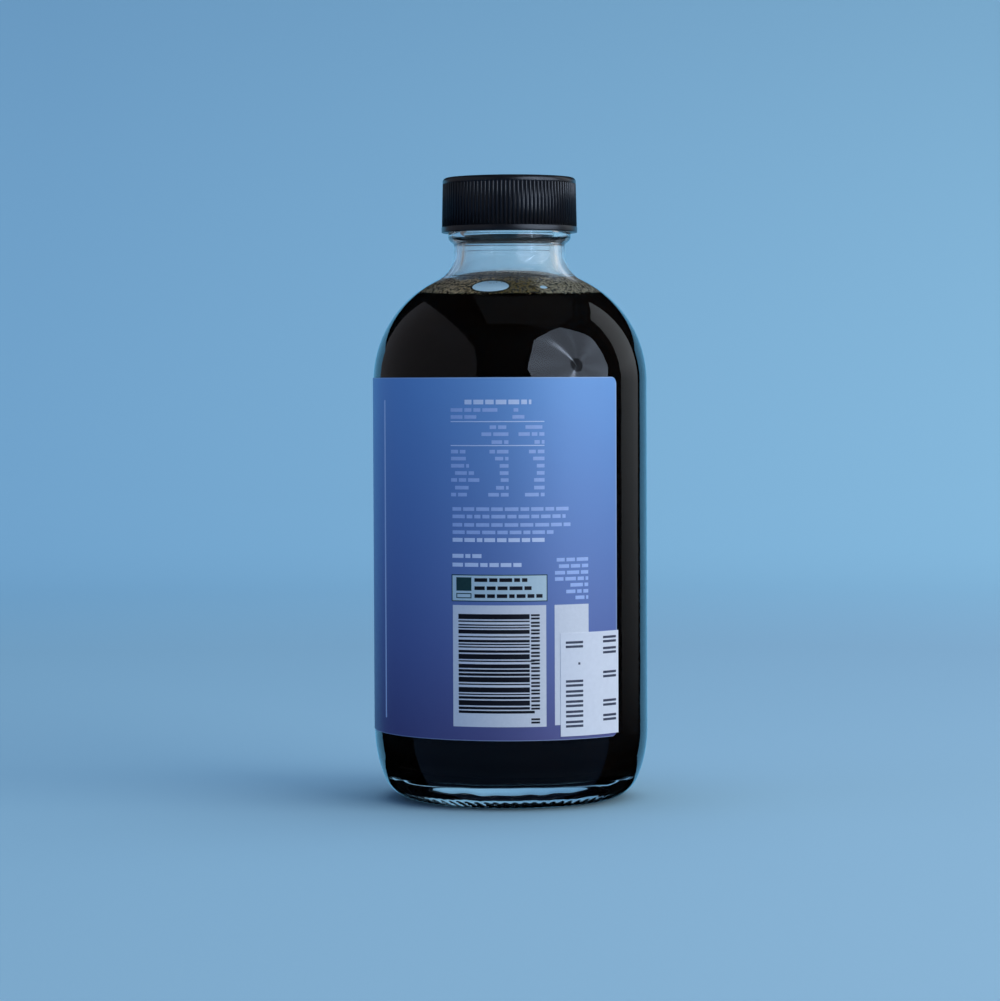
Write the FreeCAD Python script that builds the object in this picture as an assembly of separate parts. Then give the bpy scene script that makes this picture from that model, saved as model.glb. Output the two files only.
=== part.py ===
# A small round soy sauce bottle: clear glass body, black ribbed screw cap, the sauce inside,
# a wrap-round label and a date sticker that overlaps the label's end.
# Millimetres, +Z up. The origin is the centre of the flat ring on which the bottle stands.
# The printed panel with the date sticker faces -Y.
import FreeCAD, Part
import math
import os
from FreeCAD import Vector

# Bottle, outside
body_r = 30.5              # straight side
ring_inset = 9.2           # from the side in to the flat ring on which the bottle stands
ring_width = 1.6
roll_out_r = 7.7           # roll from the flat ring out towards the heel
roll_in_r = 2.5            # roll from the flat ring in to the hollow of the base
push_up = 2.2              # height of the hollow under the middle of the base
heel_r = 28.9              # wide curve of the heel, up to the straight side
shoulder_z = 93.0          # where the straight side ends
shoulder_r = 25.0
neck_cove_r = 6.7          # hollow curve from the shoulder into the neck
neck_r = 12.4
neck_length = 2.1          # straight stretch from the hollow curve to the bead's lower edge
bead_bulge = 1.3           # glass ring below the cap, out from the neck
bead_height = 3.1
bead_cove_r = 0.6          # hollow curve under the bead
mouth_step = 1.0           # out from the neck to the mouth that the cap turns on
lip_round = 0.8

# Bottle, inside
wall = 2.3                 # side, shoulder and neck
floor_z = 5.8              # lowest circle of the inside
floor_rise = 0.3           # how far the floor's middle stands above that circle
inner_heel_r = 9.0

# Sauce
air_below_neck = 9.1       # level of the sauce below the upper end of the neck's hollow curve

# Cap
cap_height = 12.2
cap_wall = 1.25            # at the foot of the ribs
cap_top_t = 1.8
cap_draft = 0.2            # how much narrower the ribbed wall is at its top
cap_band_height = 1.35     # plain band at the rim
cap_band_step = 0.08       # how far that band stands out
cap_edge_round = 0.9
cap_plain_top = 1.3        # plain ring above the ribs
cap_clearance = 0.4        # round the bottle's mouth
cap_above_bead = 0.8       # rim of the cap above the bead's widest circle
rib_count = 100
groove_depth = 0.3
groove_r = 0.36

# Label, wrapped round the straight side
label_t = 0.12
label_above_heel = 0.12
label_past_side = 0.9      # its upper edge, above the end of the straight side
label_gap = 26.6           # bare glass between its two ends
label_end_deg = 48.8       # its right-hand end, from the middle of the side that faces -Y
label_corner_r = 1.6

# Date sticker, on the label's right-hand end
sticker_t = 0.1
sticker_width = 15.65
sticker_height = 22.4
sticker_above_label_foot = 0.72
sticker_overhang = 0.35    # past the label's end

# Sizes that follow
ring_r = body_r - ring_inset
mouth_r = neck_r + mouth_step
shoulder_centre = (body_r - shoulder_r, shoulder_z)


def on_circle(centre, radius, degrees):
    """Point (r, z) of the outline at an angle on a circle."""
    angle = math.radians(degrees)
    return centre[0] + radius * math.cos(angle), centre[1] + radius * math.sin(angle)


def direction(start, end):
    """Angle in degrees from one point of the outline to another."""
    return math.degrees(math.atan2(end[1] - start[1], end[0] - start[0]))


def line(start, end):
    return Part.LineSegment(Vector(start[0], 0, start[1]), Vector(end[0], 0, end[1])).toShape()


def arc(centre, radius, first, last):
    """Arc of the outline from one angle to another, in degrees."""
    points = [on_circle(centre, radius, angle) for angle in (first, (first + last) / 2, last)]
    return Part.Arc(*[Vector(r, 0, z) for r, z in points]).toShape()


def ends(edge):
    """First and last point (r, z) of an edge."""
    points = [edge.valueAt(edge.FirstParameter), edge.valueAt(edge.LastParameter)]
    return [(point.x, point.z) for point in points]


def revolved(start, *edges):
    """Solid of revolution about Z. The outline runs from start, which is on the axis, along the
    edges with a straight line across each gap, then square to the axis and back along it."""
    path = []
    here = start
    for edge in edges:
        first, last = ends(edge)
        if math.dist(here, first) > 1e-6:
            path.append(line(here, first))
        path.append(edge)
        here = last
    top = (0, here[1])
    path += [line(here, top), line(top, start)]
    return Part.Face(Part.Wire(path)).revolve(Vector(0, 0, 0), Vector(0, 0, 1), 360)


def cove_centre(wall_r, cove_r, ball_centre, ball_r, side):
    """Centre of a hollow curve that meets both an upright wall and a rounded edge.
    It lies above the rounded edge if side is 1, and below it if side is -1."""
    r = wall_r + cove_r
    reach = math.sqrt((ball_r + cove_r) ** 2 - (r - ball_centre[0]) ** 2)
    return r, ball_centre[1] + side * reach


# Heights, from the base up
roll_out_centre = (ring_r, roll_out_r)
heel_side = body_r - heel_r
heel_rise = math.sqrt((heel_r - roll_out_r) ** 2 - (ring_r - heel_side) ** 2)
heel_centre = (heel_side, roll_out_r + heel_rise)
label_z = heel_centre[1] + label_above_heel
label_height = shoulder_z + label_past_side - label_z
neck_cove = cove_centre(neck_r, neck_cove_r, shoulder_centre, shoulder_r, 1)
sauce_z = neck_cove[1] - air_below_neck
bead_z = neck_cove[1] + neck_length + bead_height / 2
cap_z = bead_z + cap_above_bead
cap_top_z = cap_z + cap_height
lip_z = cap_top_z - cap_top_t


def shoulder_and_neck(offset):
    """Shoulder and the neck's hollow curve, moved into the glass by offset."""
    turn = direction(shoulder_centre, neck_cove)
    return [
        arc(shoulder_centre, shoulder_r - offset, 0, turn),
        arc(neck_cove, neck_cove_r + offset, turn + 180, 180),
    ]


def base():
    """Outside of the base, from the middle: hollow, inner roll, flat ring, outer roll, heel."""
    roll_in_centre = (ring_r - ring_width, roll_in_r)
    reach = roll_in_centre[0] ** 2 + (roll_in_r - push_up) ** 2 - roll_in_r ** 2
    hollow_r = reach / (2 * push_up)
    hollow_centre = (0, push_up - hollow_r)
    meet_in = direction(hollow_centre, roll_in_centre)
    meet_out = direction(heel_centre, roll_out_centre)
    return [
        arc(hollow_centre, hollow_r, 90, meet_in),
        arc(roll_in_centre, roll_in_r, meet_in - 180, -90),
        arc(roll_out_centre, roll_out_r, -90, meet_out),
        arc(heel_centre, heel_r, meet_out, 0),
    ]


def bead_and_mouth():
    """Outside from the neck up: cove, bead, the mouth that the cap turns on, rolled lip."""
    ball_r = (bead_bulge ** 2 + (bead_height / 2) ** 2) / (2 * bead_bulge)
    ball = (neck_r + bead_bulge - ball_r, bead_z)
    under = cove_centre(neck_r, bead_cove_r, ball, ball_r, -1)
    turn = direction(under, ball)
    top = math.degrees(math.acos((mouth_r - ball[0]) / ball_r))
    return [
        arc(under, bead_cove_r, 180, turn),
        arc(ball, ball_r, turn - 180, top),
        arc((mouth_r - lip_round, lip_z - lip_round), lip_round, 0, 90),
    ]


def inside_of_base():
    """Domed floor and inner heel, up to the inner side."""
    rest_r = body_r - wall - inner_heel_r
    dome_r = (rest_r ** 2 + floor_rise ** 2) / (2 * floor_rise)
    dome_centre = (0, floor_z + floor_rise - dome_r)
    edge = direction(dome_centre, (rest_r, floor_z))
    return [
        arc(dome_centre, dome_r, 90, edge),
        arc((rest_r, floor_z + inner_heel_r), inner_heel_r, -90, 0),
    ]


def cavity():
    """The space inside the glass, up to the top of the lip."""
    flare = arc((neck_r - wall + lip_round, lip_z - lip_round), lip_round, 180, 90)
    return revolved((0, floor_z + floor_rise), *inside_of_base(), *shoulder_and_neck(wall), flare)


def bottle(space):
    """Glass body: its outer form less the space inside."""
    form = revolved((0, push_up), *base(), *shoulder_and_neck(0), *bead_and_mouth())
    return form.cut(space)


def sauce(space):
    """The liquid, which fills the space inside up to its level."""
    return space.common(Part.makeCylinder(body_r, sauce_z))


def cap():
    """Screw cap: cup with a rounded top edge, a plain band at the rim and upright ribs."""
    bore_r = mouth_r + cap_clearance
    foot_r = bore_r + cap_wall
    band_r = foot_r + cap_band_step
    crown_r = foot_r - cap_draft
    band_z = cap_z + cap_band_height
    ribs_top_z = cap_top_z - cap_plain_top
    edge = arc((crown_r - cap_edge_round, cap_top_z - cap_edge_round), cap_edge_round, 0, 90)
    shell = revolved((0, cap_z), line((band_r, cap_z), (band_r, band_z)),
                     line((foot_r, band_z), ends(edge)[0]), edge)
    shell = shell.cut(Part.makeCylinder(bore_r, lip_z - cap_z, Vector(0, 0, cap_z)))
    lean = math.degrees(math.atan2(cap_draft, cap_top_z - cap_edge_round - band_z))
    groove = Part.makeCylinder(groove_r, ribs_top_z - band_z)
    groove.rotate(Vector(0, 0, 0), Vector(0, 1, 0), -lean)
    groove.translate(Vector(foot_r + groove_r - groove_depth, 0, band_z))
    grooves = []
    for i in range(rib_count):
        turned = groove.copy()
        turned.rotate(Vector(0, 0, 0), Vector(0, 0, 1), 360 * i / rib_count)
        grooves.append(turned)
    return shell.cut(grooves)


def wrap(inner_r, thickness, low_z, height, width, end_deg):
    """Sheet of an even thickness wrapped round the bottle, with its right-hand end at end_deg
    from the side that faces -Y."""
    section = Part.makePolygon([
        Vector(inner_r, 0, low_z),
        Vector(inner_r + thickness, 0, low_z),
        Vector(inner_r + thickness, 0, low_z + height),
        Vector(inner_r, 0, low_z + height),
        Vector(inner_r, 0, low_z),
    ])
    turn = math.degrees(width / inner_r)
    sheet = Part.Face(section).revolve(Vector(0, 0, 0), Vector(0, 0, 1), -turn)
    sheet.rotate(Vector(0, 0, 0), Vector(0, 0, 1), end_deg - 90)
    return sheet


def is_corner(edge):
    """True for the short edges of the label that run straight out from the bottle."""
    first, last = [vertex.Point for vertex in edge.Vertexes]
    return abs(first.z - last.z) < 1e-6 and abs(edge.Length - label_t) < 1e-6


def label():
    """Printed paper label with rounded corners."""
    width = 2 * math.pi * body_r - label_gap
    sheet = wrap(body_r, label_t, label_z, label_height, width, label_end_deg)
    return sheet.makeFillet(label_corner_r, [edge for edge in sheet.Edges if is_corner(edge)])


def date_sticker():
    """Plain white sticker with square corners, over the label's end."""
    inner_r = body_r + label_t
    end_deg = label_end_deg + math.degrees(sticker_overhang / inner_r)
    low_z = label_z + sticker_above_label_foot
    return wrap(inner_r, sticker_t, low_z, sticker_height, sticker_width, end_deg)


os.makedirs("parts", exist_ok=True)
inside = cavity()
pieces = {
    "bottle": bottle(inside),
    "sauce": sauce(inside),
    "cap": cap(),
    "label": label(),
    "date_sticker": date_sticker(),
}
for name, shape in pieces.items():
    solid = shape.Solids[0]
    solid.exportStep("parts/" + name + ".step")
    print(name, len(shape.Solids), "solid, valid:", solid.isValid(),
          "volume in ml:", round(solid.Volume / 1000, 2), "top:", round(solid.BoundBox.ZMax, 2))
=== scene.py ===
import math
import random

import bpy
import numpy as np
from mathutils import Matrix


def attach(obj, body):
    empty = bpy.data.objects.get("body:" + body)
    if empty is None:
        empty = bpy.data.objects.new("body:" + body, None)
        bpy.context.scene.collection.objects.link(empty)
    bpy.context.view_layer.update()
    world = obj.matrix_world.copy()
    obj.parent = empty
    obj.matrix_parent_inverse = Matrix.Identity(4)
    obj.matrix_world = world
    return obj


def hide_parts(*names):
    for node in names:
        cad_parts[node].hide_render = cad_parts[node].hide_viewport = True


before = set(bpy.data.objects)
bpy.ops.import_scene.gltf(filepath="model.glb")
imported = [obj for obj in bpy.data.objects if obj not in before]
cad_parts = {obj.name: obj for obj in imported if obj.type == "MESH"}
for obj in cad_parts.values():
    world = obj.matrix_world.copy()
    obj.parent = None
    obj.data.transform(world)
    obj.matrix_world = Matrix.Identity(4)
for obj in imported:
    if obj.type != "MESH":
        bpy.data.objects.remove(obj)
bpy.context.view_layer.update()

# ---------------------------------------------------------------- glass bottle
# Clear soda-lime glass, blown in a mould: straight side, round shoulder, short neck with a bead
# under the cap. It stands on a narrow ring, and the roll outside the ring has slanted grip marks.
MM = 0.001
side_r = 30.5
wall = 2.3
ring_inner_r, ring_r = 19.7, 21.3
hollow_height = 2.2
hollow_r = 88.2
roll_in_r, roll_out_r = 2.5, 7.7
heel_r, heel_z = 28.9, 15.53
shoulder_r, shoulder_z = 25.0, 93.0
cove_r = 6.7
neck_r, neck_top_z = 12.4, 123.72
bead_r, bead_z, bead_arc_r = 13.7, 125.28, 1.57
mouth_r, lip_z, lip_round = 13.4, 136.48, 0.8
floor_z, floor_rise, inner_heel_r = 5.8, 0.3, 9.0
parting_z, parting_height, parting_half = 121.9, 0.07, 0.13
grip_marks = 76
grip_depth = 0.26
grip_lean = 5.0                # how far a mark slants: 2 pi would bring it to the next one
grip_low_r, grip_high_r = 21.5, 26.4
glass_turns = grip_marks * 5
glass_index = 1.5              # how strongly it bends light
# heights of the painted reflection streaks and painted glow on the neck
painted_reflection_low_z, painted_reflection_high_z = 114.5, 124.6


class Field:
    """A value that changes over a surface. Sums with it add Math nodes to its tree."""

    def __init__(self, graph, socket):
        self.graph = graph
        self.socket = socket

    def maths(self, operation, first, second=0.0):
        return self.graph.maths(operation, first, second)

    def __add__(self, other):
        return self.maths("ADD", self, other)

    def __sub__(self, other):
        return self.maths("SUBTRACT", self, other)

    def __rsub__(self, other):
        return self.maths("SUBTRACT", other, self)

    def __mul__(self, other):
        return self.maths("MULTIPLY", self, other)

    def __truediv__(self, other):
        return self.maths("DIVIDE", self, other)

    def __gt__(self, other):
        return self.maths("GREATER_THAN", self, other)

    def __lt__(self, other):
        return self.maths("LESS_THAN", self, other)

    def __abs__(self):
        return self.maths("ABSOLUTE", self)

    __radd__ = __add__
    __rmul__ = __mul__


class Graph:
    """A node tree. Fields given to a node's sockets become links."""

    def __init__(self, tree):
        self.tree = tree

    def plug(self, node, sockets):
        for key, value in sockets.items():
            socket = node.inputs[key]
            if isinstance(value, Field):
                self.tree.links.new(value.socket, socket)
            elif socket.type == "RGBA":
                socket.default_value = (*value, 1.0)
            else:
                socket.default_value = value

    def node(self, kind, settings=None, sockets=None, output=0):
        node = self.tree.nodes.new(kind)
        for key, value in (settings or {}).items():
            if key == "stops":
                ramp = node.color_ramp.elements
                while len(ramp) < len(value):
                    ramp.new(0.5)
                for stop, (place, colour) in zip(ramp, value):
                    stop.position = place
                    stop.color = (*colour, 1.0)
            else:
                setattr(node, key, value)
        self.plug(node, sockets or {})
        return Field(self, node.outputs[output])

    def maths(self, operation, first, second=0.0):
        return self.node("ShaderNodeMath", {"operation": operation}, {0: first, 1: second})

    def clamp(self, value):
        return self.node("ShaderNodeClamp", {}, {0: value})


class Finish(Graph):
    """A material on one Principled shader."""

    def __init__(self, name, sockets):
        self.material = bpy.data.materials.new(name)
        self.material.use_nodes = True
        super().__init__(self.material.node_tree)
        self.shader = self.tree.nodes["Principled BSDF"]
        self.surface(sockets)

    def surface(self, sockets):
        self.plug(self.shader, sockets)

    def cover(self, share, layer):
        """Lays a second shader over the first, by its share of the surface."""
        both = self.node("ShaderNodeMixShader", {}, {0: share, 2: layer})
        self.tree.links.new(self.shader.outputs[0], both.socket.node.inputs[1])
        self.tree.links.new(both.socket, self.tree.nodes["Material Output"].inputs["Surface"])

    def over_mirror(self, index):
        """Light that meets the surface at a low angle from denser glass is thrown back."""
        mirror = self.node("ShaderNodeBsdfPrincipled", {}, {
            "Base Color": (1, 1, 1), "Metallic": 1.0, "Roughness": 0.0})
        self.cover(self.node("ShaderNodeFresnel", {}, {"IOR": index}), mirror)

    def painted_glow_haze(self, share, colour, painted_glow):
        """A thin pale layer over part of the surface, which also glows faintly: a painted glow."""
        glowing_layer = self.node("ShaderNodeBsdfPrincipled", {}, {
            "Base Color": colour, "Roughness": 0.9, "Specular IOR Level": 0.0,
            "Emission Color": painted_glow, "Emission Strength": 0.8})
        self.cover(share, glowing_layer)

    def place(self):
        return self.node("ShaderNodeTexCoord", output="Object")

    def axes(self):
        """x, y and z on the object, in millimetres."""
        split = self.node("ShaderNodeSeparateXYZ", {}, {0: self.place()})
        outputs = split.socket.node.outputs
        return [Field(self, outputs[i]) * 1000.0 for i in range(3)]

    def way_round(self, x, y):
        """The angle round the bottle in radians, 0 at -Y and rising towards +X."""
        return self.maths("ARCTAN2", x, y * -1.0)

    def ray(self, turn, degrees, sharpness):
        """1 in one direction, falling away on both sides of it."""
        toward = self.maths("MAXIMUM", self.maths("COSINE", turn - math.radians(degrees)), 0.0)
        return self.maths("POWER", toward, sharpness)

    def noise(self, scale, detail=2.0):
        """Even noise, 0 to 1. The scale is in cells a metre."""
        sockets = {"Vector": self.place(), "Scale": scale, "Detail": detail}
        return self.node("ShaderNodeTexNoise", {}, sockets, "Fac")

    def mix(self, factor, first, second):
        return self.node("ShaderNodeMix", {"data_type": "RGBA"}, {0: factor, 6: first, 7: second}, 2)

    def bump(self, height, distance, strength):
        sockets = {"Height": height, "Distance": distance, "Strength": strength}
        self.surface({"Normal": self.node("ShaderNodeBump", {}, sockets)})


def paint(red, green, blue):
    """A colour from a paint chart, 0 to 255, as linear light."""
    shares = (red / 255, green / 255, blue / 255)
    return tuple(s / 12.92 if s < 0.0405 else ((s + 0.055) / 1.055) ** 2.4 for s in shares)


def arc(centre, radius, first, last, step):
    """Points (r, z) on a circle from one angle to another, about a step apart, in degrees."""
    count = max(2, round(abs(last - first) / step))
    turns = [math.radians(first + (last - first) * i / count) for i in range(count + 1)]
    return [(centre[0] + radius * math.cos(a), centre[1] + radius * math.sin(a)) for a in turns]


def slope(start, end):
    """Angle in degrees of the line from one point to another."""
    return math.degrees(math.atan2(end[1] - start[1], end[0] - start[0]))


def new_piece(name, points, faces, *finishes):
    """A smooth mesh object from points in millimetres."""
    mesh = bpy.data.meshes.new(name)
    mesh.from_pydata((np.array(points) * MM).tolist(), [], faces)
    mesh.polygons.foreach_set("use_smooth", [True] * len(mesh.polygons))
    for finish in finishes:
        mesh.materials.append(finish.material)
    piece = bpy.data.objects.new(name, mesh)
    bpy.context.scene.collection.objects.link(piece)
    return piece


def lathe(name, outline, turns, *finishes, shape=None):
    """Solid turned about Z from an outline (r, z). The outline either runs from the axis back to
    the axis, or is a closed ring. shape(r, z, angle) may move the points in and out."""
    to_axis = outline[0][0] == 0
    rings = outline[1:-1] if to_axis else outline
    r, z = [np.repeat(np.array(part)[:, None], turns, 1) for part in zip(*rings)]
    angle = np.repeat(np.linspace(0, 2 * math.pi, turns, endpoint=False)[None, :], len(rings), 0)
    if shape:
        r, z = shape(r, z, angle)
    points = np.stack([r * np.cos(angle), r * np.sin(angle), z], -1).reshape(-1, 3).tolist()
    pairs = len(rings) - 1 if to_axis else len(rings)
    faces = []
    for i in range(pairs):
        low, high = i * turns, (i + 1) % len(rings) * turns
        for j in range(turns):
            k = (j + 1) % turns
            faces.append((low + j, low + k, high + k, high + j))
    if to_axis:
        points += [(0, 0, outline[0][1]), (0, 0, outline[-1][1])]
        foot, head, last = len(points) - 2, len(points) - 1, (len(rings) - 1) * turns
        for j in range(turns):
            k = (j + 1) % turns
            faces += [(foot, k, j), (head, last + j, last + k)]
    return new_piece(name, points, faces, *finishes)


shoulder_centre = (side_r - shoulder_r, shoulder_z)
cove_out = neck_r + cove_r
cove_up = math.sqrt((shoulder_r + cove_r) ** 2 - (cove_out - shoulder_centre[0]) ** 2)
cove_centre = (cove_out, shoulder_z + cove_up)
shoulder_turn = slope(shoulder_centre, cove_centre)
heel_centre = (side_r - heel_r, heel_z)
roll_out_centre = (ring_r, roll_out_r)
heel_turn = slope(heel_centre, roll_out_centre)
hollow_centre = (0, hollow_height - hollow_r)
roll_in_centre = (ring_inner_r, roll_in_r)
hollow_turn = slope(hollow_centre, roll_in_centre)
bead_centre = (bead_r - bead_arc_r, bead_z)
rest_r = side_r - wall - inner_heel_r    # where the floor meets the inner heel


def inside_shoulder(into_glass=0.0):
    """Inside of the glass from the side up to the neck, or a little way into the glass."""
    depth = wall - into_glass
    return (arc(shoulder_centre, shoulder_r - depth, 0, shoulder_turn, 4)
            + arc(cove_centre, cove_r + depth, shoulder_turn + 180, 180, 4))


def inside_base(into_glass=0.0):
    """Domed floor and inner heel, from the axis up to the side."""
    low = floor_z - into_glass
    dome = [(rest_r * t, low + floor_rise * (1 - t * t)) for t in (0, 0.2, 0.4, 0.6, 0.8, 0.92)]
    return dome + arc((rest_r, floor_z + inner_heel_r), inner_heel_r + into_glass, -90, 0, 5)


def uneven_inside(r, z, angle):
    """The blown inner face waves slightly in and out, and most at the floor."""
    wave = 0.07 * np.sin(3 * angle + 0.05 * z) + 0.05 * np.sin(7 * angle + 0.11 * z + 1.3)
    low = np.clip((floor_z + 5 - z) / 5, 0, 1)
    sag = low * (0.04 * np.sin(4 * angle + 0.6) + 0.02 * np.sin(9 * angle + 2.0) + 0.015 * np.sin(17 * angle))
    return r + wave * np.clip(r / side_r, 0, 1), z + sag * np.clip(r / rest_r, 0, 1)


def worked_glass(r, z, angle):
    """Grip marks on the outer roll of the base, and the uneven inner face."""
    outer = np.arange(len(r))[:, None] < outer_rings
    across = np.clip((r - grip_low_r) / (grip_high_r - grip_low_r), 0, 1)
    window = np.where(outer & (z < 3) & (r > grip_low_r), np.sin(math.pi * across), 0)
    mark = window * grip_depth * np.clip(np.cos(grip_marks * angle + grip_lean * across), 0, 1)
    inner_r, inner_z = uneven_inside(r, z, angle)
    return np.where(outer, r - mark * across, inner_r), np.where(outer, z + mark, inner_z)


outside = (
    [(0, hollow_height)]
    + arc(hollow_centre, hollow_r, 88, hollow_turn, 2)
    + arc(roll_in_centre, roll_in_r, hollow_turn - 180, -90, 9)[1:]
    + arc(roll_out_centre, roll_out_r, -90, heel_turn, 3.5)
    + arc(heel_centre, heel_r, heel_turn, 0, 3)[1:]
    + [(side_r, z) for z in (30, 50, 70)]
    + arc(shoulder_centre, shoulder_r, 0, shoulder_turn, 3)
    + arc(cove_centre, cove_r, shoulder_turn + 180, 180, 5)[1:]
    + [(neck_r, parting_z - parting_half), (neck_r + parting_height, parting_z),
       (neck_r, parting_z + parting_half), (neck_r, parting_z + 0.9), (neck_r, neck_top_z - 0.5),
       (neck_r + 0.06, neck_top_z - 0.25), (neck_r + 0.25, neck_top_z)]
    + arc(bead_centre, bead_arc_r, -68, 42, 10)
    + [(mouth_r, 127.2), (mouth_r, 131)]
    + arc((mouth_r - lip_round, lip_z - lip_round), lip_round, 0, 90, 18)
)
outer_rings = len(outside) - 1
inside = (
    inside_base()
    + [(side_r - wall, z) for z in (38, 56, 75)]
    + inside_shoulder()
    + [(neck_r - wall, z) for z in (124, 127, 131)]
    + arc((neck_r - wall + lip_round, lip_z - lip_round), lip_round, 180, 90, 18)
)
glass = Finish("clear_bottle_glass", {
    "Base Color": paint(250, 254, 253), "Roughness": 0.0, "IOR": glass_index, "Transmission Weight": 1.0})
glass.bump(glass.noise(55.0), 0.0004, 0.25)
x, y, z = glass.axes()
turn = glass.way_round(x, y)
# Faint pale streaks of painted reflection lie in the glass of the neck, with a very thin haze between them;
# the whole layer glows faintly, a painted glow.
in_neck = glass.clamp((z - painted_reflection_low_z) * 0.5) * glass.clamp((painted_reflection_high_z - z) * 0.5)
painted_reflection_streaks = 0.0
for degrees, sharpness, strength in ((57, 260.0, 0.34), (-66, 300.0, 0.26), (40, 120.0, 0.08)):
    painted_reflection_streaks = glass.ray(turn, degrees, sharpness) * strength + painted_reflection_streaks
glass.painted_glow_haze((painted_reflection_streaks + glass.noise(160.0) * 0.1) * in_neck, (0.8, 0.8, 0.78), (0.3, 0.33, 0.35))
bottle = lathe("glass_bottle", outside + inside[::-1], glass_turns, glass, shape=worked_glass)
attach(bottle, "root")
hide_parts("bottle")

# ---------------------------------------------------------------- soy sauce
# Thick, almost black soy sauce up to the foot of the neck. It wets the glass, so it reaches just
# into the wall, and its free surface climbs a little at the edge.
sauce_z = 112.53
sauce_wets = 0.2
meniscus = 0.5
sauce_dark = paint(7, 5, 5)
sauce_edge = paint(20, 11, 6)
sauce_index = 1.38

sauce_wall = [p for p in inside_shoulder(sauce_wets) if p[1] < sauce_z + meniscus]
wall_top = sauce_wall[-1]
sauce_outline = (
    inside_base(sauce_wets)
    + [(side_r - wall + sauce_wets, z) for z in (38, 56, 75)]
    + sauce_wall
    + [(wall_top[0] - 0.5, wall_top[1] - 0.1), (wall_top[0] - 1.1, sauce_z + 0.12),
       (wall_top[0] - 2, sauce_z), (6, sauce_z), (0, sauce_z)]
)
dark_sauce = Finish("soy_sauce_dark", {"Roughness": 0.25, "Specular IOR Level": 0.0})
dark_sauce.surface({"Base Color": dark_sauce.mix(dark_sauce.noise(90.0), sauce_dark, sauce_edge)})
dark_sauce.over_mirror(sauce_index / glass_index)
sauce = lathe("soy_sauce", sauce_outline, 190, dark_sauce, shape=uneven_inside)
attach(sauce, "root")
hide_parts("sauce")

# ---------------------------------------------------------------- foam
# A ring of fine froth that clings to the glass above the sauce: a soft bed of film with small
# bubbles on it, tan on both sides and dark olive in front. One large flat bubble and a small one
# lie against the glass in front, and a thin line of film has dried above the froth.
foam_low_z, foam_high_z = 111.1, 114.9
foam_out, foam_in = 0.8, 0.9   # how far the bed reaches into the wall and out of it
foam_mean_r, foam_slant = 14.0, 2    # its face is about twice as wide as the foam is high
foam_rows, foam_turns = 12, 180
foam_count = 1100
foam_seed = 7
bubble_small, bubble_large = 0.12, 0.3
big_bubble_turn, big_bubble_z = -13.6, 112.95
film_line_z = 115.2


class Build(Graph):
    """A geometry tree with named inputs for its sizes."""

    def __init__(self, name, inputs):
        super().__init__(bpy.data.node_groups.new(name, "GeometryNodeTree"))
        face = self.tree.interface
        face.new_socket("Geometry", in_out="INPUT", socket_type="NodeSocketGeometry")
        face.new_socket("Geometry", in_out="OUTPUT", socket_type="NodeSocketGeometry")
        self.identifiers = {}
        for label, kind in inputs.items():
            socket = face.new_socket(label, in_out="INPUT", socket_type="NodeSocket" + kind)
            self.identifiers[label] = socket.identifier
        self.given = self.tree.nodes.new("NodeGroupInput")

    def take(self, label):
        return Field(self, self.given.outputs[label])

    def give(self, geometry, finish):
        """Ends the tree: whole geometry, one finish."""
        whole = self.node("GeometryNodeRealizeInstances", {}, {0: geometry})
        smooth = self.node("GeometryNodeSetShadeSmooth", {}, {0: whole})
        painted = self.node("GeometryNodeSetMaterial", {}, {0: smooth, "Material": finish.material})
        self.tree.links.new(painted.socket, self.tree.nodes.new("NodeGroupOutput").inputs[0])

    def run(self, piece, values):
        """Runs the tree on a piece and leaves the result as its plain mesh."""
        modifier = piece.modifiers.new(self.tree.name, "NODES")
        modifier.node_group = self.tree
        for label, value in values.items():
            modifier[self.identifiers[label]] = value
        depsgraph = bpy.context.evaluated_depsgraph_get()
        made = bpy.data.meshes.new_from_object(piece.evaluated_get(depsgraph))
        piece.modifiers.clear()
        piece.data = made


def inner_wall_r(z):
    """Radius of the inside of the glass at a height on the shoulder or neck."""
    points = sorted((p[1], p[0]) for p in inside_shoulder())
    return np.interp(z, *zip(*points))


def froth(name, shine):
    """Foam colours by the way round the bottle, broken up by darker gaps and thin at the foot."""
    finish = Finish(name, {"Roughness": shine})
    x, y, z = finish.axes()
    wander = (finish.noise(260.0, 3.0) - 0.5) * 0.7
    olive = (0.21, 0.14, 0.04)
    stops = [(0.0, (0.44, 0.33, 0.22)), (0.30, (0.60, 0.42, 0.24)), (0.42, (0.52, 0.35, 0.16)),
             (0.47, olive), (0.58, olive), (0.64, (0.46, 0.37, 0.24)), (1.0, (0.50, 0.40, 0.28))]
    share = (finish.way_round(x, y) + wander) / math.pi + 0.5
    colour = finish.node("ShaderNodeValToRGB", {"stops": stops}, {0: share})
    gaps = (finish.noise(1700.0) - 0.41) * 4.4 + finish.clamp((z - 113.8) * 0.8) * 0.35
    finish.surface({"Base Color": finish.mix(finish.clamp(gaps), colour, paint(26, 21, 11))})
    thick = (z - foam_low_z) * 1.1 - finish.noise(1500.0, 1.0) * 1.1 + 0.35
    finish.surface({"Alpha": finish.clamp(thick * 3.0)})
    return finish


foam_film = froth("foam_film", 0.5)
foam_bubbles = froth("foam_bubbles", 0.12)
bed_heights = np.linspace(foam_low_z, foam_high_z, foam_rows)
bed_outer = [(inner_wall_r(z) + foam_out, z) for z in bed_heights]
bed_inner = [(inner_wall_r(z) - foam_in, z) for z in bed_heights[::-1]]


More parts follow.
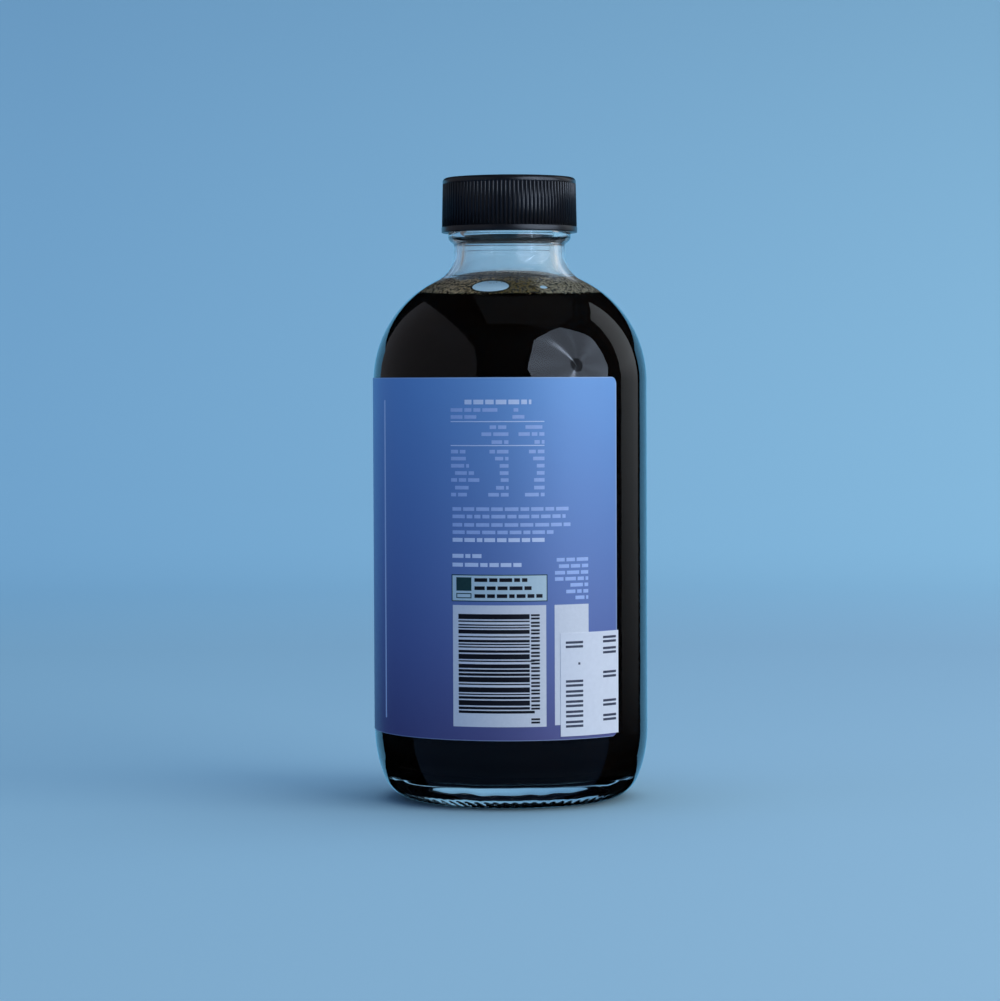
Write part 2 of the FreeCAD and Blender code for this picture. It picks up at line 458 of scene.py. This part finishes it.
def ragged(r, z, angle):
    """The foam's two edges rise and fall round the bottle, and the foam follows the wall."""
    share = np.clip((z - foam_low_z) / (foam_high_z - foam_low_z), 0, 1)
    top = 0.35 * np.sin(2 * angle + 0.4) + 0.2 * np.sin(5 * angle) + 0.12 * np.sin(13 * angle + 1)
    low = 0.12 * np.sin(31 * angle) + 0.1 * np.sin(47 * angle + 2) + 0.08 * np.sin(83 * angle)
    drop = share * (0.5 + top) + (1 - share) * low
    return uneven_inside(r + inner_wall_r(z - drop) - inner_wall_r(z), z - drop, angle)


bed = lathe("foam_bed", bed_outer + bed_inner, foam_turns, foam_film, shape=ragged)
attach(bed, "root")

scatter = Build("scatter_bubbles", {
    "Density": "Float", "Seed": "Int", "Smallest": "Float", "Largest": "Float"})
spots = scatter.node("GeometryNodeDistributePointsOnFaces", {}, {
    "Mesh": scatter.take("Geometry"), "Density": scatter.take("Density"), "Seed": scatter.take("Seed")})
ball = scatter.node("GeometryNodeMeshUVSphere", {}, {"Segments": 8, "Rings": 5, "Radius": 1.0})
sizes = scatter.node("FunctionNodeRandomValue", {"data_type": "FLOAT"}, {
    2: scatter.take("Smallest"), 3: scatter.take("Largest"), "Seed": scatter.take("Seed")}, 1)
bubbles = scatter.node("GeometryNodeInstanceOnPoints", {}, {
    "Points": spots, "Instance": ball, "Scale": sizes})
scatter.give(bubbles, foam_bubbles)

foam = lathe("foam_bubbles", [(r - 0.05, z) for r, z in bed_outer] + [bed_inner[0]],
             foam_turns, foam_bubbles, shape=ragged)
foam_area = 2 * math.pi * (foam_mean_r * MM) * foam_slant * (foam_high_z - foam_low_z) * MM
scatter.run(foam, {"Density": foam_count / foam_area, "Seed": foam_seed,
                   "Smallest": bubble_small * MM, "Largest": bubble_large * MM})
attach(foam, "root")


def blister(name, turn, z, half_wide, half_high, finish, out, thick):
    """A flat round bubble that lies against the inside of the glass: a closed lens, wide and low."""
    rows, count = 7, 40
    middle = math.radians(turn)
    points, faces = [], []
    for bulge in (0.4 * thick, -0.32 * thick):
        for i in range(rows):
            share = (i + 1) / rows
            for j in range(count):
                a = 2 * math.pi * j / count
                across, up = half_wide * share * math.cos(a), half_high * share * math.sin(a)
                r = inner_wall_r(z + up) + out + bulge * math.sqrt(1 - share ** 2)
                around = middle + across / inner_wall_r(z)
                points.append((r * math.sin(around), -r * math.cos(around), z + up))
        r = inner_wall_r(z) + out + bulge
        points.append((r * math.sin(middle), -r * math.cos(middle), z))
    block = rows * count + 1
    for side in (0, 1):
        start = side * block
        for j in range(count):
            k = (j + 1) % count
            fan = [(start + block - 1, start + j, start + k)]
            for i in range(rows - 1):
                low, high = start + i * count, start + (i + 1) * count
                fan.append((low + j, high + j, high + k, low + k))
            faces += [face[::-1] for face in fan] if side else fan
    low, high = (rows - 1) * count, block + (rows - 1) * count
    for j in range(count):
        k = (j + 1) % count
        faces.append((low + j, high + j, high + k, low + k))
    return new_piece(name, points, faces, finish)


# The bubbles' film glows faintly and is paler and brighter at its foot than above: painted glow and painted
# sheen.
film = Finish("bubble_film", {"Roughness": 0.08, "Specular IOR Level": 0.6})
x, y, z = film.axes()
painted_sheen_fade = film.clamp((z - (big_bubble_z - 0.4)) * 0.6)
film.surface({
    "Base Color": film.mix(painted_sheen_fade, paint(205, 226, 240), paint(150, 182, 206)),
    "Emission Color": film.mix(painted_sheen_fade, (0.05, 0.1, 0.14), (0.01, 0.03, 0.05)), "Emission Strength": 1.0})
# The dark ring round the large bubble is painted shade at its curved edge; the same dark finish colours the
# dried line of film above the froth.
bubble_rim = Finish("bubble_rim", {"Roughness": 0.3, "Specular IOR Level": 0.2})
bubble_rim.surface({
    "Base Color": bubble_rim.mix(bubble_rim.noise(800.0), paint(30, 30, 26), paint(62, 58, 42))})
rim_piece = blister("bubble_rim", big_bubble_turn, big_bubble_z, 4.1, 1.36, bubble_rim, 1.15, 0.2)
bubble_piece = blister("large_bubble", big_bubble_turn, big_bubble_z, 3.7, 1.06, film, 1.23, 0.3)
small_bubble = blister("small_bubble", 23.5, 112.7, 0.75, 0.3, film, 1.2, 0.2)
film_line_r = inner_wall_r(film_line_z)
film_edge = lathe("film_edge", [
    (film_line_r + 0.1, film_line_z - 0.1), (film_line_r + 0.12, film_line_z + 0.1),
    (film_line_r - 0.2, film_line_z + 0.1), (film_line_r - 0.2, film_line_z - 0.1)], 120, bubble_rim)
for part in (rim_piece, bubble_piece, small_bubble, film_edge):
    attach(part, "root")

# ---------------------------------------------------------------- screw cap
# Black polypropylene screw cap with a satin skin: a plain band at the rim, a hundred fine upright
# ribs, a plain ring above them and a flat top with a slightly sunk middle. It sits on the upper side
# of the glass bead.
cap_z, cap_top_z = 126.08, 138.28
cap_bore_r, cap_foot_r, cap_band_r = 13.8, 15.05, 15.13
cap_band_z, cap_band_round, cap_ribs_top_z = 127.43, 0.18, 136.98
cap_crown_r, cap_edge_round = 14.85, 0.9
cap_hollow_r, cap_hollow_depth = 11.2, 0.12   # of the slightly sunk middle of its top
groove_depth = 0.3
rib_count = 100
rib_half_width = 0.33

cap_plastic = Finish("black_cap_plastic", {"Roughness": 0.42, "Specular IOR Level": 0.85})
grain = cap_plastic.noise(2600.0, 3.0)
cap_plastic.surface({
    "Base Color": cap_plastic.mix(cap_plastic.noise(320.0), paint(19, 19, 22), paint(28, 28, 32)),
    "Roughness": grain * 0.14 + 0.24})
cap_plastic.bump(grain, 0.00003, 0.5)
cap_outline = (
    [(0, lip_z), (cap_bore_r - 0.5, lip_z), (cap_bore_r, lip_z - 0.5), (cap_bore_r, cap_z + 0.15),
     (cap_bore_r + 0.15, cap_z)]
    + arc((cap_band_r - cap_band_round, cap_z + cap_band_round), cap_band_round, -90, 0, 30)
    + arc((cap_band_r - cap_band_round, cap_band_z - cap_band_round), cap_band_round, 0, 90, 30)
    + [(cap_foot_r - groove_depth, cap_band_z), (cap_crown_r - groove_depth + 0.03, cap_ribs_top_z - 0.25),
       (cap_crown_r - 0.02, cap_ribs_top_z), (cap_crown_r, cap_ribs_top_z + 0.15)]
    + arc((cap_crown_r - cap_edge_round, cap_top_z - cap_edge_round), cap_edge_round, 0, 90, 11)
    + [(cap_hollow_r + 0.3, cap_top_z), (cap_hollow_r, cap_top_z - cap_hollow_depth),
       (0, cap_top_z - cap_hollow_depth)]
)
cap = lathe("screw_cap", cap_outline, 200, cap_plastic)

rib_profile = [(-1.0, 0.0), (-0.8, 0.55), (-0.4, 0.92), (0.0, 1.0), (0.4, 0.92), (0.8, 0.55), (1.0, 0.0)]
rib_sink = 0.06                # how far its root reaches into the cap
rib_points = []
for z, fullness in ((cap_band_z - 0.05, 1.0), (cap_ribs_top_z - 0.2, 1.0), (cap_ribs_top_z + 0.05, 0.85)):
    up = (z - cap_band_z) / (cap_ribs_top_z - cap_band_z)
    root_r = cap_foot_r - groove_depth - rib_sink - 0.2 * up
    reach = (groove_depth + rib_sink) * fullness
    rib_points += [(root_r + reach * out, rib_half_width * side, z) for side, out in rib_profile]
width = len(rib_profile)
rib_faces = []
for low in (0, width):
    rib_faces += [(low + i, low + i + 1, low + width + i + 1, low + width + i) for i in range(width - 1)]
rib_faces += [tuple(range(width))[::-1], tuple(range(2 * width, 3 * width))]
rib_faces += [(low + width - 1, low, low + width, low + 2 * width - 1) for low in (0, width)]
rib = new_piece("cap_rib", rib_points, rib_faces, cap_plastic)

ribs_round = Build("ribs_round_cap", {"Rib": "Object", "Count": "Int"})
seats = ribs_round.node("GeometryNodePoints", {}, {"Count": ribs_round.take("Count")})
step = ribs_round.maths("DIVIDE", 2 * math.pi, ribs_round.take("Count"))
turned = ribs_round.node("ShaderNodeCombineXYZ", {}, {
    "Z": ribs_round.node("GeometryNodeInputIndex") * step})
one_rib = ribs_round.node("GeometryNodeObjectInfo", {}, {"Object": ribs_round.take("Rib")}, "Geometry")
all_ribs = ribs_round.node("GeometryNodeInstanceOnPoints", {}, {
    "Points": seats, "Instance": one_rib, "Rotation": turned})
joined = ribs_round.node("GeometryNodeJoinGeometry", {}, {0: all_ribs})
ribs_round.tree.links.new(ribs_round.take("Geometry").socket, joined.socket.node.inputs[0])
ribs_round.give(joined, cap_plastic)
ribs_round.run(cap, {"Rib": rib, "Count": rib_count})
bpy.data.objects.remove(rib)
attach(cap, "root")
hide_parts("cap")

# ---------------------------------------------------------------- paper label
# One satin paper label wrapped round the straight side, printed in a blue that deepens to violet
# at the foot. The cut paper shows as a pale line along its edges.
label_low_z, label_high_z = 15.65, 93.9
label_r = 30.62
label_end = 26.0               # its right-hand end, along the paper from the middle of the front
paper_edge = 0.22

label_paper = Finish("printed_label_paper", {"Roughness": 0.42, "Specular IOR Level": 0.45})
x, y, z = label_paper.axes()
height = (z - label_low_z) / (label_high_z - label_low_z)
fade = [(0.0, paint(84, 83, 133)), (0.25, paint(95, 110, 165)), (0.5, paint(104, 133, 188)),
        (0.75, paint(111, 151, 205)), (1.0, paint(119, 168, 221))]
blue = label_paper.node("ShaderNodeValToRGB", {"stops": fade}, {0: height})
along = label_paper.way_round(x, y) * label_r
rim = (z > label_high_z - paper_edge) + (z < label_low_z + paper_edge * 0.6)
rim = rim + (abs(along - label_end) < paper_edge)
cloud = label_paper.noise(140.0, 4.0)
printed_blue = label_paper.mix(cloud * 0.16, blue, paint(112, 132, 182))
label_paper.surface({
    "Base Color": label_paper.mix(label_paper.clamp(rim * 0.55), printed_blue, paint(176, 196, 226)),
    "Roughness": label_paper.noise(700.0, 3.0) * 0.14 + 0.36})
label_paper.bump(label_paper.noise(1800.0, 3.0), 0.00002, 0.35)
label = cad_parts["label"]
label.material_slots[0].material = label_paper.material

# ---------------------------------------------------------------- print on the label
# Thin ink on the paper: rules, lines of small print kept as plain bars, white fields, a pattern of
# plain stripes, and on the far side a plain disc between bars. Each field bends with the bottle.
ink_step = 1.1
ink_t = 0.014
ink_under = 0.02               # how far a field reaches into the paper
word_gap = 0.42


def printed(name, fields, finish, layer=0, base_r=label_r):
    """Ink fields (left, right, low, high), in millimetres along and up the label, as one thin
    closed sheet each, bent round the bottle."""
    points, faces = [], []
    inner, outer = base_r - ink_under, base_r + ink_t * (layer + 1)
    for left, right, low, high in fields:
        count = max(1, math.ceil((right - left) / ink_step))
        start = len(points)
        for i in range(count + 1):
            turn = (left + (right - left) * i / count) / label_r
            for r, z in ((inner, low), (outer, low), (outer, high), (inner, high)):
                points.append((r * math.sin(turn), -r * math.cos(turn), z))
        for i in range(count):
            a, b = start + 4 * i, start + 4 * i + 4
            faces += [(a + k, b + k, b + (k + 1) % 4, a + (k + 1) % 4) for k in range(4)]
        end = start + 4 * count
        faces += [(start, start + 1, start + 2, start + 3), (end + 3, end + 2, end + 1, end)]
    piece = new_piece(name, points, faces, finish)
    piece.data.polygons.foreach_set("use_smooth", [False] * len(piece.data.polygons))
    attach(piece, "root")
    return piece


def ink(name, colour, paler):
    """Ink with a slightly uneven cover."""
    finish = Finish(name, {"Roughness": 0.45, "Specular IOR Level": 0.4})
    finish.surface({"Base Color": finish.mix(finish.noise(1500.0, 3.0), colour, paler)})
    return finish


def bars(lines, height, draw):
    """Lines (z, left, right) of small print, each broken into plain bars as long as words."""
    fields = []
    for z, left, right in lines:
        here = left
        while here < right - 0.3:
            word = min(draw.uniform(1.1, 3.1), right - here)
            if right - here - word < 0.9:
                word = right - here
            fields.append((here, here + word, z - height / 2, z + height / 2))
            here += word + word_gap
    return fields


draw = random.Random(3)
rules = [(-13.3, 7.35, 84.3, 84.5), (-13.3, 7.35, 79.15, 79.35), (-34.45, -33.9, 19.2, 89.0)]
heading = bars([(88.6, -10.05, 4.5)], 1.0, draw)
table_ends = (-9.9, -9.8, -9.1, -8.0, -6.8, -9.2, -9.6)
table_starts = (-13.25, -13.25, -13.25, -12.3, -13.25, -12.3, -13.25)
first_column = (4.1, 2.9, 1.9, 1.9, 1.7, 2.7, 4.4)
second_column = (3.4, 2.5, 1.7, 1.7, 2.3, 2.3, 4.3)
column_ends = (-0.46, 7.34)
table_rows = (77.95, 76.45, 74.9, 73.35, 71.85, 70.2, 68.7)
lines = [(86.9, -13.3, -2.8), (86.9, 0.65, 1.7), (85.4, -13.3, -7.4), (85.4, 0.4, 3.0),
         (83.2, -4.5, -0.9), (83.2, 3.2, 6.9), (81.7, -6.3, -0.45), (81.7, 1.7, 7.35),
         (80.0, -4.1, -0.45), (80.0, 5.15, 7.35),
         (65.6, -12.95, 12.8), (64.0, -12.95, 12.1), (62.2, -12.95, 13.25), (60.6, -12.95, 9.3)]
lines += list(zip(table_rows, table_starts, table_ends))
for end, column in zip(column_ends, (first_column, second_column)):
    lines += [(z, end - long, end) for z, long in zip(table_rows, column)]
right_block = ((54.6, 10.0), (53.2, 10.5), (51.8, 9.6), (50.45, 9.6), (49.1, 13.2), (47.7, 12.2),
               (46.35, 14.4))
lines += [(z, left, 17.65) for z, left in right_block]
bold_lines = [(58.95, -12.95, 7.3), (55.5, -13.0, -6.4), (53.6, -13.0, 2.25)]

pale_ink = ink("pale_print", paint(204, 217, 244), paint(218, 229, 250))
soft_ink = ink("small_print", paint(158, 182, 230), paint(178, 200, 240))
printed("label_rules", rules + heading, pale_ink)
printed("label_small_print", bars(lines, 0.78, draw), soft_ink)
printed("label_bold_print", bars(bold_lines, 0.85, draw), pale_ink)

white_ink = ink("white_print", paint(216, 218, 222), paint(228, 230, 233))
dark_ink = ink("dark_print", paint(9, 10, 18), paint(18, 20, 32))
green_ink = ink("green_print", paint(20, 56, 58), paint(34, 72, 70))
printed("label_white_fields", [(-12.95, 7.6, 18.65, 44.9), (9.5, 17.7, 18.9, 44.9)], white_ink)
stripes = []
z = 21.6
while z < 43.0:
    thick = draw.choice((0.3, 0.3, 0.56, 0.86, 1.1))
    long_stripe = z < 22.4 or z > 42.0 or 32.0 < z < 33.0
    stripes.append((-11.65, 5.0 if long_stripe else 3.95, z, z + thick))
    z += thick + draw.choice((0.27, 0.3, 0.5))
mark_rows = [19.4, *np.arange(22.4, 42.4, 1.62)]
marks = [(4.25, 6.15, z + up, z + up + 0.42) for z in mark_rows for up in (0.0, 0.7)]
printed("label_stripes", stripes + marks, dark_ink, 1)

printed("label_box_outline", [(-13.2, 7.9, 45.7, 51.5)], green_ink)
box_ink = ink("box_print", paint(186, 208, 214), paint(200, 220, 224))
printed("label_box", [(-13.0, 7.7, 45.9, 51.3)], box_ink, 1)
box_mark = [(-12.1, -8.65, 48.0, 50.9), (-12.1, -8.65, 46.4, 46.6), (-12.1, -8.65, 47.3, 47.5),
            (-12.1, -11.9, 46.4, 47.5), (-8.85, -8.65, 46.4, 47.5)]
printed("label_box_mark", box_mark, green_ink, 2)
box_lines = [(50.35, -7.97, 3.5), (48.6, -7.97, 4.4), (46.9, -7.97, 6.8)]
printed("label_box_print", bars(box_lines, 0.8, draw), dark_ink, 2)

# The far side: a plain disc between two groups of bars, and a few short bars low down.
far_centre = -87.0
disc_r, disc_z, disc_rows = 12.0, 62.0, 48
half_row = disc_r / disc_rows
disc = []
for i in range(disc_rows):
    z = -disc_r + (2 * i + 1) * half_row
    half = math.sqrt(disc_r ** 2 - z ** 2)
    disc.append((far_centre - half, far_centre + half, disc_z + z - half_row, disc_z + z + half_row))
far_bars = ((15, 83.5, 86.3), (9, 79.6, 81.2), (19, 41.5, 41.9), (19, 30.6, 31.0), (12, 36.6, 38.6),
            (8, 33.6, 34.8), (4.5, 22.4, 23.8))
far = [(far_centre - half, far_centre + half, low, high) for half, low, high in far_bars]
far.append((-136.0, -135.75, 19.2, 89.0))
printed("label_far_side_disc", disc, pale_ink)
printed("label_far_side_bars", far, pale_ink)

# ---------------------------------------------------------------- date sticker
# A square-cut white paper sticker stamped with two rows of plain marks, put on by hand over the
# label's right-hand end.
sticker_r = 30.72
sticker_paper = Finish("date_sticker_paper", {"Roughness": 0.55, "Specular IOR Level": 0.35})
fibre = sticker_paper.noise(900.0, 5.0)
sticker_paper.surface({"Base Color": sticker_paper.mix(fibre, paint(222, 224, 228), paint(234, 236, 240))})
sticker_paper.bump(fibre, 0.00003, 0.4)
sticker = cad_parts["date_sticker"]
sticker.material_slots[0].material = sticker_paper.material

stamp_ink = ink("stamp_ink", paint(44, 48, 64), paint(78, 84, 102))
stamps = [(15.0, 15.5, 31.8, 32.3)]
for left, right, rows in ((12.0, 16.2, (19.0, 21.2, 23.4, 25.6, 27.8, 36.2)),
                          (21.6, 25.6, (20.0, 23.2, 29.4, 34.6, 37.0))):
    for z in rows:
        stamps += [(left, right, z - 0.72, z - 0.2), (left, right, z + 0.2, z + 0.72)]
stamped = printed("sticker_stamp", stamps, stamp_ink, 0, sticker_r)

# ---------------------------------------------------------------- studio
# A round sweep of pale blue paper for floor and wall, and a large eight-sided soft light of cloth to
# the right, cut off straight at its foot. The glass also shows two dim boards, a blue card behind and
# a low card in front. Three flat lamps hang above, beside on the right, and on the left.
METRE = 1000.0                 # in millimetres: the lengths below are in metres
floor_r, sweep_bend, sweep_top, sweep_t = 0.75, 0.4, 1.9, 0.02
sweep_r = floor_r + sweep_bend
sweep_outline = [(0.0, 0.0), (0.3, 0.0), (floor_r, 0.0)]
sweep_outline += [(floor_r + r, sweep_bend + z) for r, z in arc((0, 0), sweep_bend, -90, 0, 6)[1:]]
sweep_outline += [(sweep_r, sweep_top), (sweep_r + sweep_t, sweep_top), (sweep_r + sweep_t, -sweep_t),
                  (0.0, -sweep_t)]
sweep_outline = [(r * METRE, z * METRE) for r, z in sweep_outline]
sweep_paper = Finish("blue_sweep_paper", {"Roughness": 0.85, "Specular IOR Level": 0.15})
# Painted light: the paper is darker on the left and lighter on the right, and the far wall is lighter than
# the floor near the bottle.
x, y, z = sweep_paper.axes()
side = sweep_paper.clamp(x * 0.002 + 0.5)
far = sweep_paper.clamp((sweep_paper.maths("SQRT", x * x + y * y) - 430.0) / 420.0)
floor_painted_light = sweep_paper.mix(side, (0.255, 0.425, 0.505), (0.315, 0.465, 0.54))
wall_painted_light = sweep_paper.mix(side, (0.28, 0.485, 0.595), (0.365, 0.59, 0.665))
sweep_paper.surface({"Base Color": sweep_paper.mix(far, floor_painted_light, wall_painted_light)})
sweep = lathe("paper_sweep", sweep_outline, 96, sweep_paper)
sweep.visible_glossy = False
sweep.visible_diffuse = False
sweep.visible_shadow = False


def glow(name, colour, strength):
    """The lit surface of a lamp or a board."""
    return Finish(name, {"Base Color": (0, 0, 0), "Roughness": 1.0, "Specular IOR Level": 0.0,
                         "Emission Color": colour, "Emission Strength": strength})


def panel(name, middle, turn, rise, outline, finish):
    """A flat lamp or board around a middle point in metres. turn is from -Y towards +X and rise
    is up, in degrees, for the way its back faces; the outline is in metres on its face."""
    turn, rise = math.radians(turn), math.radians(rise)
    out = np.array([math.sin(turn) * math.cos(rise), -math.cos(turn) * math.cos(rise), math.sin(rise)])
    across = np.array([math.cos(turn), math.sin(turn), 0.0])
    up = np.cross(out, across) * (1 if np.cross(out, across)[2] > 0 else -1)
    points = [(np.array(middle) + across * u + up * v) * METRE for u, v in outline]
    face = new_piece(name, points, [tuple(range(len(points)))], finish)
    uv = face.data.uv_layers.new(name="across_panel")
    for loop in face.data.loops:
        uv.data[loop.index].uv = outline[loop.vertex_index]
    face.visible_camera = False
    face.visible_shadow = False
    face.visible_diffuse = False
    return face


def across_panel(finish):
    """Metres across and up a panel's face."""
    face = finish.node("ShaderNodeUVMap", {"uv_map": "across_panel"})
    split = finish.node("ShaderNodeSeparateXYZ", {}, {0: face})
    return [Field(finish, split.socket.node.outputs[i]) for i in range(2)]


def oblong(left, right, low, high):
    """Outline of a four-cornered board."""
    return [(left, low), (right, low), (right, high), (left, high)]


def lamp(name, place, turned, size, watts, colour):
    """A flat lamp, in metres and degrees. It lights one way and doesn't show in the glass."""
    light = bpy.data.lights.new(name, "AREA")
    light.shape, light.size, light.size_y = "RECTANGLE", *size
    light.energy, light.color = watts, colour
    hung = bpy.data.objects.new(name, light)
    hung.location = place
    hung.rotation_euler = [math.radians(angle) for angle in turned]
    hung.visible_glossy = False
    bpy.context.scene.collection.objects.link(hung)


soft_r = 0.64
soft_foot, soft_foot_half = -0.28, 0.524
soft_blue = (0.66, 0.785, 1.0)
corners = [math.radians(45 * i) for i in range(5)]
octagon = [(soft_r * math.cos(a), soft_r * math.sin(a)) for a in corners]
octagon += [(-soft_foot_half, soft_foot), (soft_foot_half, soft_foot)]
soft_light = glow("soft_light_cloth", soft_blue, 2.1)
u, v = across_panel(soft_light)
away = soft_light.maths("SQRT", u * u + v * v) / soft_r
turn = soft_light.maths("ARCTAN2", v, u)
folds = abs(soft_light.maths("SINE", turn * 4.0 + 0.6)) * 0.24
hub = (away > 0.13) * 0.75 + 0.25
near_hub = soft_light.maths("MAXIMUM", 1.0 - away * 1.3, 0.0) * 5.0
creases = soft_light.ray(turn, 124, 230.0) + soft_light.ray(turn, 245, 60.0) * 0.8
level = (1.06 - folds - soft_light.ray(turn, 80, 6.0) * 0.25 + creases * near_hub) * hub
glowing = soft_light.node("ShaderNodeVectorMath", {"operation": "SCALE"}, {0: soft_blue, "Scale": level})
soft_light.surface({"Emission Color": glowing})
panel("soft_light", (0.676, -0.431, 0.291), 44, 8, octagon, soft_light)

left_board = glow("dim_board_left", (0.9, 0.9, 1.0), 0.14)
panel("dim_board_left", (-0.75, 0.05, 0.09), -86, 0,
      [(-1.05, -0.09), (1.32, -0.09), (1.26, 0.52), (1.05, 0.8), (0.57, 0.9), (-1.05, 1.0)], left_board)
right_board = glow("dim_board_right", (0.92, 0.95, 1.0), 0.6)
lit = right_board.clamp((across_panel(right_board)[1] + 0.12) * 2.6)
right_board.surface({"Emission Color": right_board.mix(lit, (0.0, 0.0, 0.0), (0.86, 0.93, 1.0))})
panel("dim_board_right", (0.95, 0.53, 0.0), 119, 0, oblong(-0.26, 0.3, -0.12, 1.12), right_board)

rear_card = glow("blue_card_behind", (0.15, 0.45, 0.75), 1.0)
rear = panel("blue_card_behind", (0.0, 0.9, 0.0), 180, 0, oblong(-0.77, 0.77, -0.26, 0.32), rear_card)
low_card = glow("dim_card_low_in_front", (0.25, 0.5, 1.0), 0.13)
low = panel("dim_card_low_in_front", (0.0, -1.4, -0.03), 0, 90, oblong(-2.2, 2.2, -1.38, 1.38), low_card)
for card in (rear, low):
    card.visible_transmission = False

lamp("light_above", (0.55, 0.25, 1.65), (0, 0, 0), (2.2, 2.0), 26.0, (0.72, 0.85, 1.0))
lamp("light_beside", (0.78, -0.5, 0.42), (69, 0, 57), (1.0, 0.6), 6.6, (1.0, 1.0, 0.98))
lamp("light_left", (-0.8, -0.2, 0.5), (63, 0, -76), (0.7, 0.7), 0.76, (0.6, 0.65, 1.0))

room = bpy.data.worlds.new("blue_room")
bpy.context.scene.world = room
room.use_nodes = True
room_fill = room.node_tree.nodes["Background"]
room_fill.inputs["Color"].default_value = (0.105, 0.205, 0.385, 1.0)
room_fill.inputs["Strength"].default_value = 1.0
room.cycles_visibility.glossy = False
room.cycles_visibility.transmission = False
light_paths = bpy.context.scene.cycles
light_paths.max_bounces, light_paths.glossy_bounces, light_paths.transmission_bounces = 18, 12, 16
bpy.context.scene.view_settings.view_transform = "Standard"

lens = bpy.data.cameras.new("camera")
lens.lens = 120.87
lens.clip_start, lens.clip_end = 0.01, 20.0
camera = bpy.data.objects.new("camera", lens)
camera.location = (-0.00222, -0.7513, 0.0935)
camera.rotation_euler = (math.pi / 2 - 0.0361, 0.0039, 0.0)
bpy.context.scene.collection.objects.link(camera)
bpy.context.scene.camera = camera
